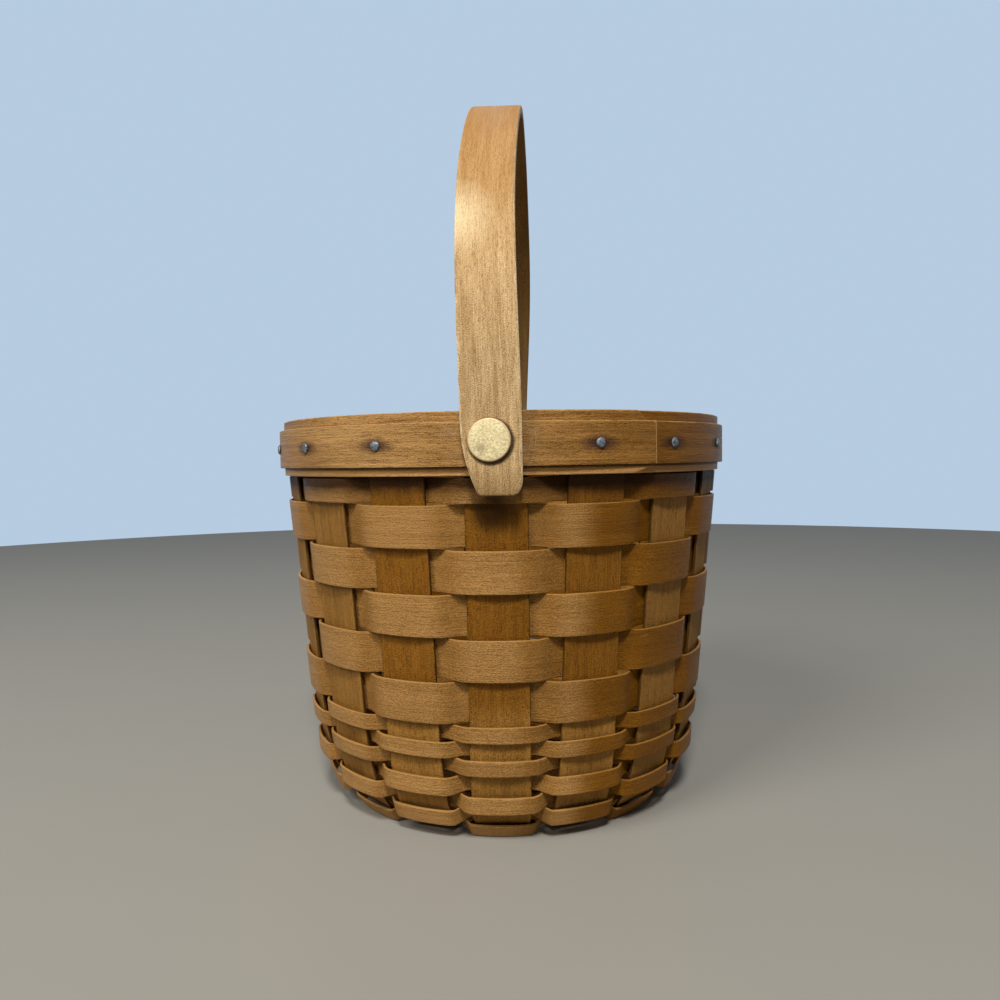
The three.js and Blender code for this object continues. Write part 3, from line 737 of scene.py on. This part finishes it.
# Rim
# Three hoops of bent maple clamp the uprights: a flat inner band, an outer band of the same height and a
# narrower trim over it. The outer two are lapped together at the front right, with a tapered tongue.
band_thickness = 1.5 * mm
inner_band_thickness = 2.0 * mm
trim_height = 13.2 * mm
trim_thickness = 1.5 * mm
trim_set_down = 3.2 * mm
band_seat_clearance = 0.07 * mm
rim_layer_clearance = 0.15 * mm
lap_end_angle = 36.3  # degrees, as all places and lengths along the rim are
lap_length = 22.5
lap_ramp_length = 6.9
thin_end_share = 0.2
outer_end_thickness = 0.6 * mm
tongue_bottom_cut = (5.3, 2.6 * mm)  # length and height
tongue_top_cut = (4.6, 5.6 * mm)
inner_joint_angle = 200
inner_end_gap = 0.4
inner_band_steps = 240
hoop_step = 1.5
bend_step = 7.5
end_grain_step = 0.25
least_hoop_step = 0.12
band_rounding = 0.3 * mm
rim_sheen_peak = -28.0
rim_sheen_spread = 16.0
front_sheen = 0.25
front_sheen_reach = lap_end_angle + 1.0  # just past the tongue's tip
tack_drift = -3.2
lap_tack_drift = -1.0
rivet_set_down = 8.7 * mm

pivot_height = rim_height - rivet_set_down
upright_corner_radius = math.hypot(wall_radius_at_rim + splint_thickness / 2, splint_width / 2)
band_seat = upright_corner_radius / math.cos(math.radians(bend_step / 2)) + band_seat_clearance
lap_start_angle = lap_end_angle - lap_length
hoop_start = lap_start_angle - 360
lap_lift = thin_end_share * (band_thickness + trim_thickness) + 2 * rim_layer_clearance
rim_inner_radius = wall_radius_at_rim - splint_thickness / 2 - band_seat_clearance - inner_band_thickness
trim_bottom = rim_height - trim_set_down - trim_height


def rim_layers(angle):
    """Inner and outer radius of the outer band and of the trim at an angle along their full turn and lap."""
    start_share = min(max((angle - hoop_start) / lap_length, 0), 1)
    end_share = min(max((angle - lap_start_angle) / lap_length, 0), 1)
    hidden_share = thin_end_share + (1 - thin_end_share) * start_share
    climb = lap_lift * ease(angle, lap_start_angle - lap_ramp_length, lap_start_angle)
    growth = (1 - thin_end_share) * end_share * (band_thickness + trim_thickness)

    def depth(thickness):
        if end_share > 0:
            return thickness + (outer_end_thickness - thickness) * end_share
        return thickness * hidden_share

    band_inner = band_seat + climb + growth
    band_outer = band_inner + depth(band_thickness)
    trim_inner = band_outer + rim_layer_clearance
    return band_inner, band_outer, trim_inner, trim_inner + depth(trim_thickness)


def corner_cut(angle, cut):
    length, height = cut
    return height * min(max((angle - lap_end_angle) / length + 1, 0), 1)


def hoop_stations(angles, inner_outer, bottom_top):
    stations = []
    upward = np.array([0, 0, 1.0])
    for angle in angles:
        inner, outer = inner_outer(angle)
        bottom, top = bottom_top(angle)
        middle = around(angle, (inner + outer) / 2, 0)
        run = math.radians(angle) * wall_radius_at_rim
        # Painted sheen on the bands, strongest a little left of the front, with a weaker one across the
        # front as far as the tongue's tip.
        peak = math.exp(-((angle - rim_sheen_peak) / rim_sheen_spread) ** 2)
        at_side = painted_sheen_side(angle)
        rub = at_side * (sheen_least + (1 - sheen_least) * peak)
        if abs(angle) < front_sheen_reach:
            rub += front_sheen * (1 - at_side)
        stations.append((middle, upward, around(angle, 1, 0), bottom, top, outer - inner, run, rub))
    return stations


def hoop_places():
    """Angles of the stations of a lapped band, with one at each tack and at each start of a cut."""
    ends = [hoop_start, hoop_start + end_grain_step, lap_end_angle - end_grain_step, lap_end_angle]
    starts = [lap_end_angle - tongue_bottom_cut[0], lap_end_angle - tongue_top_cut[0]]
    places = ends + starts + [a - turn for a in tack_angles for turn in (0, 360)]
    for a in np.arange(hoop_start, lap_end_angle, hoop_step):
        if all(abs(a - b) > hoop_step / 3 for b in places):
            places.append(a)
    places = sorted(a for a in places if hoop_start <= a <= lap_end_angle)
    return [a for i, a in enumerate(places) if i == 0 or a - places[i - 1] > least_hoop_step]


def mark_tacks(mesh):
    """The tack attribute: the distance along the band to the nearest tack, and the height above its head."""
    values = []
    for point in mesh.vertices:
        angle = math.degrees(math.atan2(point.co.x, -point.co.y))
        apart = min(abs((angle - a + 180) % 360 - 180) for a in tack_angles)
        values += [math.radians(apart) * wall_radius_at_rim, point.co.z - trim_bottom - trim_height / 2, 0]
    mark_points(mesh, "tack", values, "FLOAT_VECTOR")


stain_length = 4.8 * mm
stain_height = 1.9 * mm
stain_raggedness = 1.1 * mm
stain_core = 1.5
stain_share = 0.85
iron_stain = srgb(52, 30, 34)
corner_shade_drop = 0.7 * mm
corner_shade_rise = 0.1 * mm
corner_shade_share = 0.9
lit_edge_start = 0.6 * mm
lit_edge_full = 0.9 * mm
lit_edge_share = 0.65
painted_lit_edge = srgb(212, 160, 100)
arc_inner_edge = (9.0 * mm, 10.0 * mm)
arc_outer_edge = (15.8 * mm, 13.5 * mm)
arc_share = 0.5
rubbed_wood = srgb(176, 148, 116)


def rim_marks(tree, colour, grain):
    """Iron stain that spread from each tack along the grain, painted shade in the corner under the trim,
    painted light that makes the outer band paler below it, and arcs that the swinging legs wore into it."""
    tack = split(tree, attribute(tree, "tack", "Vector"))
    ragged = noise(tree, grain, (260, 1500, 600), detail=4.0, roughness=0.6)
    height = maths(tree, "SUBTRACT", tack["Y"], stain_raggedness)
    height = maths(tree, "MULTIPLY_ADD", ragged, 2 * stain_raggedness, height)
    height = maths(tree, "DIVIDE", height, stain_height)
    length = maths(tree, "DIVIDE", tack["X"], stain_length)
    stain = maths(tree, "SUBTRACT", stain_core, hypotenuse(tree, length, height), clamp=True)
    colour = mixed(tree, times(tree, stain, stain_share), colour, iron_stain)
    place = basket_place(tree)
    height = split(tree, place)["Z"]
    # Painted shade in the corner just under the trim.
    below = ramp(tree, height, trim_bottom - corner_shade_drop, trim_bottom)
    above = ramp(tree, height, trim_bottom + 2 * corner_shade_rise, trim_bottom + corner_shade_rise)
    colour = mixed(tree, times(tree, times(tree, below, above), corner_shade_share), colour, painted_shade)
    # Painted light on the band's strip just below the trim, which lies in the trim's shadow.
    low = ramp(tree, height, trim_bottom - lit_edge_start, trim_bottom - lit_edge_full)
    outside = ramp(tree, attribute(tree, "side"), 0.0, 0.5, 0.0, lit_edge_share)
    colour = mixed(tree, times(tree, low, outside), colour, painted_lit_edge)
    radius = distance_from(tree, place, (0, pivot_height))
    swept = times(tree, ramp(tree, radius, *arc_inner_edge), ramp(tree, radius, *arc_outer_edge))
    rings = add_node(tree, "ShaderNodeCombineXYZ", X=radius).outputs[0]
    lines = noise(tree, rings, (2600, 1, 1), detail=2.0)
    patches = noise(tree, place, (240, 240, 240))
    arcs = times(tree, ramp(tree, lines, 0.45, 0.6), ramp(tree, patches, 0.4, 0.6))
    return mixed(tree, times(tree, times(tree, swept, arcs), arc_share), colour, rubbed_wood)


tack_angles = []
for upright in range(upright_count):
    angle = upright * upright_pitch + weave_turn
    drift = lap_tack_drift if lap_start_angle < angle < lap_end_angle else tack_drift
    if upright % splint_count != 0:
        tack_angles.append(angle + drift)

# Its second, paler pair is where the painted sheen lies, and its edges and the bands' ends take a painted
# highlight as well as wear.
rim_maple = stained_maple(
    "rim_maple", pale=srgb(148, 98, 30), deep=srgb(92, 56, 10), fleck=srgb(70, 42, 12),
    worn=srgb(200, 156, 100), painted_lights=(srgb(202, 158, 100), srgb(118, 80, 38)), reach=0.045, bare=0.85,
    sheen_turn=0.25, fibres=0.55, marks=rim_marks,
)

hoop_angles = hoop_places()
inner_end_angle = inner_joint_angle - inner_end_gap
inner_angles = np.linspace(inner_joint_angle - 360, inner_end_angle, inner_band_steps)


def outer_edges(angle):
    return band_bottom + corner_cut(angle, tongue_bottom_cut), rim_height - corner_cut(angle, tongue_top_cut)


hoops = {
    "outer": (hoop_angles, lambda a: rim_layers(a)[:2], outer_edges),
    "trim": (hoop_angles, lambda a: rim_layers(a)[2:], lambda a: (trim_bottom, trim_bottom + trim_height)),
    "inner": (
        inner_angles, lambda a: (rim_inner_radius, rim_inner_radius + inner_band_thickness),
        lambda a: (band_bottom, rim_height),
    ),
}
for name, hoop in hoops.items():
    mesh = strip_mesh(f"wood_{name}_band", hoop_stations(*hoop), f"{name} band", rounding=band_rounding)
    mark_tacks(mesh)
    finish_piece(mesh, rim_maple)


# Handle
# One strip of maple, 18 mm wide and 3 mm thick, steamed and bent over into an arch that has twisted and
# leans a little. Its legs hang outside the rim, and each is rounded off more on one side than on the other.
handle_width = 17.9 * mm
handle_thickness = 3.0 * mm
handle_top = 254.3 * mm
handle_tail = 16.0 * mm
handle_offset = 0.5 * mm
handle_rim_clearance = 0.45 * mm
handle_leg_rise = 18.0 * mm
handle_leg_reach = 66.0 * mm
handle_top_reach = 24.0 * mm
handle_twist = math.tan(math.radians(1.9))
handle_twist_rise = 92.0 * mm
handle_lean = 1.0 * mm
leg_long_round = 50.0 * mm
leg_long_round_drop = 22.0 * mm
leg_short_round = 6.0 * mm
leg_short_round_drop = 4.4 * mm
leg_corner_round = 0.9 * mm
handle_rounding = 0.45 * mm
arch_steps = 64
handle_wave = 0.12 * mm
handle_wave_length = 0.5

leg_inner = rim_layers(0)[3] + handle_rim_clearance
leg_outer = leg_inner + handle_thickness
leg_middle = (leg_inner + leg_outer) / 2
leg_end = pivot_height - handle_tail
arch_foot = pivot_height + handle_leg_rise
arch_top = handle_top - handle_thickness / 2


def corner_inset(above_end, rounding, drop):
    """How much of a leg's edge is cut away at a height above its end."""
    down = min(max(drop - above_end, 0), rounding)
    return rounding - math.sqrt(rounding ** 2 - down ** 2)


def handle_line():
    """The middle of the handle from one end to the other: distance from the axis along Y, and height. The
    rises are above a leg's end, in millimetres, and lie closer together where it is rounded off."""
    leg_rises = (0, 0.08, 0.2, 0.4, 0.65, 0.95, 1.4, 2, 3, 4, 5, 6.5, 8, 10, 12, 15, 18, 22, 28)
    leg = [(leg_middle, leg_end + rise * mm) for rise in leg_rises]
    arch = bezier((leg_middle, arch_foot), (leg_middle, arch_foot + handle_leg_reach),
                  (handle_top_reach, arch_top), (0, arch_top), steps=arch_steps)
    half = np.array(leg + list(arch))
    return np.concatenate([half * (-1, 1), half[-2::-1]])


handle_points = handle_line()
handle_wander = [wander(f"handle side {side}", handle_wave, (1, 2, 5)) for side in (0, 1)]
handle_stations = []
run = 0
for i, (y, z) in enumerate(handle_points):
    before, after = handle_points[max(i - 1, 0)], handle_points[min(i + 1, len(handle_points) - 1)]
    along_y, along_z = (after - before) / np.hypot(*(after - before))
    twist = handle_twist * ease(z, pivot_height, pivot_height + handle_twist_rise)
    lean = handle_lean * ease(z, pivot_height, handle_top)
    middle = np.array([handle_offset + y * twist + lean, y, z])
    outward = np.array([-along_z * twist, -along_z, along_y])
    above_end = z - leg_end
    near = y < 0
    long_cut = corner_inset(above_end, leg_long_round, leg_long_round_drop)
    short_cut = corner_inset(above_end, leg_short_round, leg_short_round_drop)
    corner = corner_inset(above_end, leg_corner_round, leg_corner_round)
    end_round = corner_inset(above_end, handle_rounding, handle_rounding)
    waves = [abs(wave(run / handle_wave_length)) for wave in handle_wander]
    low = -handle_width / 2 + (long_cut if near else short_cut) + corner + waves[0]
    high = handle_width / 2 - (short_cut if near else long_cut) - corner - waves[1]
    if i > 0:
        run += float(np.linalg.norm(handle_points[i] - handle_points[i - 1]))
    # How much painted shade the handle takes: none at the arch's foot, full at its top.
    top_shade = ease(z, arch_foot, arch_top)
    thickness = handle_thickness - 2 * end_round
    handle_stations.append((middle, np.array([1.0, 0, 0]), outward, low, high, thickness, run, top_shade))


top_shade_share = 0.7
top_shade_wood = srgb(178, 117, 26)
edge_highlight_place = (-11.5 * mm, 194.0 * mm)
edge_highlight_reach = 15.0 * mm
edge_highlight_share = 0.9
edge_highlight_wood = srgb(252, 226, 178)
rivet_shadow_shift = 0.5 * mm
rivet_shadow_edge = (7.2 * mm, 6.4 * mm)
rivet_shadow_share = 0.9
leg_end_shade_height = 9.0 * mm
leg_end_shade_share = 0.6
deep_brown_wood = srgb(110, 76, 28)


def handle_marks(tree, colour, grain):
    """Painted shade makes the top darker and more orange, and a painted highlight lies on one edge below it;
    a painted shadow lies round the rivets' heads and painted shade on the legs' ends, and the inner side is
    darker brown, a little unevenly."""
    # Painted shade: the arch is painted darker and more orange towards its top.
    colour = mixed(tree, times(tree, attribute(tree, "rub"), top_shade_share), colour, top_shade_wood)
    place = basket_place(tree)
    # A painted highlight, a pale patch near the arch's left edge, well below its top.
    at_edge_highlight = ramp(tree, distance_from(tree, place, edge_highlight_place), edge_highlight_reach, 0.0, 0.0, edge_highlight_share)
    colour = mixed(tree, at_edge_highlight, colour, edge_highlight_wood)
    # A painted shadow round each rivet's head, shifted to +X and down so that it shows most below the head.
    from_rivet = distance_from(tree, place, (rivet_shadow_shift, pivot_height - rivet_shadow_shift))
    colour = mixed(tree, ramp(tree, from_rivet, *rivet_shadow_edge, 0.0, rivet_shadow_share), colour, painted_shade)
    # Painted shade on the lowest part of each leg, darkest at its end.
    low_end = ramp(tree, split(tree, place)["Z"], leg_end + leg_end_shade_height, leg_end, 0.0, leg_end_shade_share)
    colour = mixed(tree, low_end, colour, deep_brown_wood)
    blotches = ramp(tree, noise(tree, grain, (60, 200, 200)), 0.3, 0.7, 0.75, 0.95)
    inside = times(tree, ramp(tree, attribute(tree, "side"), -0.2, -0.95), blotches)
    return mixed(tree, inside, colour, deep_brown_wood)


handle_maple = stained_maple(
    "handle_maple", pale=srgb(222, 189, 141), deep=srgb(150, 114, 68), fleck=srgb(112, 78, 42),
    worn=srgb(244, 220, 180), reach=0.06, bare=0.95, gloss=0.4, fibres=0.62, speckle=0.16, flecks=0.35,
    shortness=1.4, marks=handle_marks,
)
handle_mesh = strip_mesh("wood_handle", handle_stations, "handle", rounding=handle_rounding)
finish_piece(handle_mesh, handle_maple, body="handle")


# Rivets and washers
# Two brass rivets, front and back, let the handle swing. Each has a flat round head outside the handle and
# is upset over a washer inside the inner band.
rivet_head_diameter = 12.5 * mm
rivet_head_thickness = 1.1 * mm
rivet_shank_diameter = 5.0 * mm
rivet_tail_diameter = 7.4 * mm
rivet_tail_thickness = 1.0 * mm
rivet_hole_clearance = 0.3 * mm
rivet_head_clearance = 0.2 * mm
washer_diameter = 11.0 * mm
washer_thickness = 0.8 * mm
washer_clearance = 0.2 * mm
rivet_tail_dome = ((0, 0), (1.6 * mm, 0), (2.6 * mm, 0.15 * mm), (3.4 * mm, 0.45 * mm))  # radius, depth
rivet_tail_edge = 0.2 * mm
rivet_head_edge = 0.45 * mm
rivet_head_lip = 0.1 * mm
rivet_head_crown = 0.08 * mm
rivet_crown = (4.0 * mm, 0.03 * mm)
sheet_edge = 0.15 * mm
turned_steps = 64


def turned_mesh(name, outline, angle, height, steps=turned_steps, uneven=None):
    """A turned solid whose axis points out of the basket. The outline is (radius, distance from the basket's
    axis) from one end to the other; a radius of 0 closes it on its axis, and otherwise it is a ring. Uneven
    gives the share of the radius that is left at a turn round the axis."""
    outward, side, upward = around(angle, 1, 0), around(angle + 90, 1, 0), np.array([0, 0, 1.0])
    origin = np.array([0, 0, height])
    points, faces, rings = [], [], []
    for radius, distance in outline:
        if radius == 0:
            rings.append([len(points)])
            points.append(origin + outward * distance)
        else:
            rings.append(list(range(len(points), len(points) + steps)))
            for k in range(steps):
                a = 2 * math.pi * k / steps
                spoke = (side * math.cos(a) + upward * math.sin(a)) * (uneven(k / steps) if uneven else 1)
                points.append(origin + outward * distance + spoke * radius)
    open_ring = outline[0][0] != 0
    for first, second in zip(rings, rings[1:] + (rings[:1] if open_ring else [])):
        for k in range(steps):
            after = (k + 1) % steps
            if len(first) == 1:
                faces.append((first[0], second[k], second[after]))
            elif len(second) == 1:
                faces.append((first[k], second[0], first[after]))
            else:
                faces.append((first[k], second[k], second[after], first[after]))
    return closed_mesh(name, points, faces)


def rounded_rim(radius, face, edge, steps=4):
    """Outline points from a rounded rim up to the flat face."""
    turns = [math.pi / 2 * i / steps for i in range(steps, -1, -1)]
    return [(radius - edge + edge * math.sin(t), face - edge * (1 - math.cos(t))) for t in turns]


brass_face = srgb(246, 230, 180)
brass_pit = srgb(192, 166, 112)
brass_bevel = srgb(196, 164, 122)
bevel_edge = (5.6 * mm, 6.0 * mm)
bevel_share = 0.8
brass_tarnish = srgb(142, 122, 90)
tarnish_place = (-2.5 * mm, -2.4 * mm)  # the middle of the darkest patch, from the middle of the head
tarnish_edge = (5.2 * mm, 3.2 * mm)
tarnish_raggedness = 6.0 * mm
tarnish_share = 0.6
blotch_share = 0.35
pit_depth = 0.07 * mm

aged_brass, tree = new_material("aged_brass")
place = basket_place(tree)
pits = noise(tree, place, [1500] * 3, detail=4.0, roughness=0.75)
blotches = noise(tree, place, [360] * 3, detail=4.0, roughness=0.6, distortion=0.6)
from_patch = distance_from(tree, place, (tarnish_place[0], pivot_height + tarnish_place[1]))
from_patch = maths(tree, "MULTIPLY_ADD", blotches, tarnish_raggedness, from_patch)
patch = ramp(tree, from_patch, *tarnish_edge, 0.0, tarnish_share)
tarnish = maths(tree, "MAXIMUM", patch, ramp(tree, blotches, 0.54, 0.72, 0.0, blotch_share))
brass_colour = mixed(tree, ramp(tree, pits, 0.36, 0.60), brass_pit, brass_face)
brass_colour = mixed(tree, tarnish, brass_colour, brass_tarnish)
at_bevel = ramp(tree, distance_from(tree, place, (0, pivot_height)), *bevel_edge, 0.0, bevel_share)
brass_colour = mixed(tree, at_bevel, brass_colour, brass_bevel)
brass_bump = add_node(tree, "ShaderNodeBump", Height=pits, Strength=0.3, Distance=pit_depth)
brass_rough = ramp(tree, pits, 0.3, 0.7, 0.6, 0.45)
add_shader(tree, Base_Color=brass_colour, Metallic=0.35, Roughness=brass_rough, Normal=brass_bump.outputs[0])

washer_outer = math.sqrt(rim_inner_radius ** 2 - (washer_diameter / 2) ** 2) - washer_clearance
washer_inner = washer_outer - washer_thickness
tail_top = washer_inner - washer_clearance
head_bottom = leg_outer + rivet_head_clearance
head_top = head_bottom + rivet_head_thickness
tail_end = tail_top - rivet_tail_thickness
head, shank, tail = rivet_head_diameter / 2, rivet_shank_diameter / 2, rivet_tail_diameter / 2
hole, edge = shank + rivet_hole_clearance, washer_diameter / 2
rivet_outline = [(radius, tail_end + depth) for radius, depth in rivet_tail_dome]
rivet_outline += [(tail, tail_top - rivet_tail_edge), (tail, tail_top), (shank, tail_top)]
rivet_outline += [(shank, head_bottom), (head - rivet_head_lip, head_bottom)]
rivet_outline += [(head, head_bottom + sheet_edge)]
rivet_outline += rounded_rim(head, head_top - rivet_head_crown, rivet_head_edge)
rivet_outline += [(rivet_crown[0], head_top - rivet_crown[1]), (0, head_top)]
washer_outline = [(hole, washer_inner), (edge - sheet_edge, washer_inner)]
washer_outline += [(edge, washer_inner + sheet_edge), (edge, washer_outer - sheet_edge)]
washer_outline += [(edge - sheet_edge, washer_outer), (hole, washer_outer)]
for end_name, angle in (("front", 0), ("back", 180)):
    for kind, outline in (("rivet", rivet_outline), ("washer", washer_outline)):
        mesh = turned_mesh(f"brass_{kind}_{end_name}", outline, angle, pivot_height)
        finish_piece(mesh, aged_brass)


# Tacks
# Fourteen small cut steel tacks hold the rim together, one through each upright that has no rivet. Their
# heads are blued and a little uneven from the hammer.
tack_head_diameter = 3.4 * mm
tack_head_thickness = 0.75 * mm
tack_shank_diameter = 1.2 * mm
tack_point_length = 1.2 * mm
tack_crown_diameter = 2.0 * mm
tack_seat_clearance = 0.12 * mm
tack_bite = 1.2 * mm
tack_head_side = 0.25 * mm
tack_shoulder = (0.93, 0.45 * mm)  # share of the head's radius, and height
tack_crown_share = 0.93
hammer_wave = 0.07
tack_steps = 20
scale_depth = 0.1 * mm

blued_steel, tree = new_material("blued_steel")
scale_spots = noise(tree, basket_place(tree), [1500] * 3, detail=4.0, roughness=0.6)
steel_colour = mixed(tree, ramp(tree, scale_spots, 0.38, 0.62), srgb(58, 60, 64), srgb(136, 140, 142))
steel_bump = add_node(tree, "ShaderNodeBump", Height=scale_spots, Strength=0.6, Distance=scale_depth)
add_shader(tree, Base_Color=steel_colour, Metallic=0.5, Roughness=0.45, Normal=steel_bump.outputs[0])

tack_tip = rim_inner_radius + inner_band_thickness - tack_bite
head, shank, crown = tack_head_diameter / 2, tack_shank_diameter / 2, tack_crown_diameter / 2
for i, angle in enumerate(tack_angles, start=1):
    seat = rim_layers(angle - 360 if angle > lap_end_angle else angle)[3] + tack_seat_clearance
    hammered = wander(f"tack {i}", hammer_wave, (2, 3, 4))
    outline = [(0, tack_tip), (shank, tack_tip + tack_point_length), (shank, seat), (head, seat)]
    outline += [(head, seat + tack_head_side), (head * tack_shoulder[0], seat + tack_shoulder[1])]
    outline += [(crown, seat + tack_head_thickness * tack_crown_share), (0, seat + tack_head_thickness)]
    mesh = turned_mesh(f"steel_tack_{i:02d}", outline, angle, trim_bottom + trim_height / 2,
                       steps=tack_steps, uneven=lambda turn: 1 - hammer_wave + hammered(turn))
    finish_piece(mesh, blued_steel)
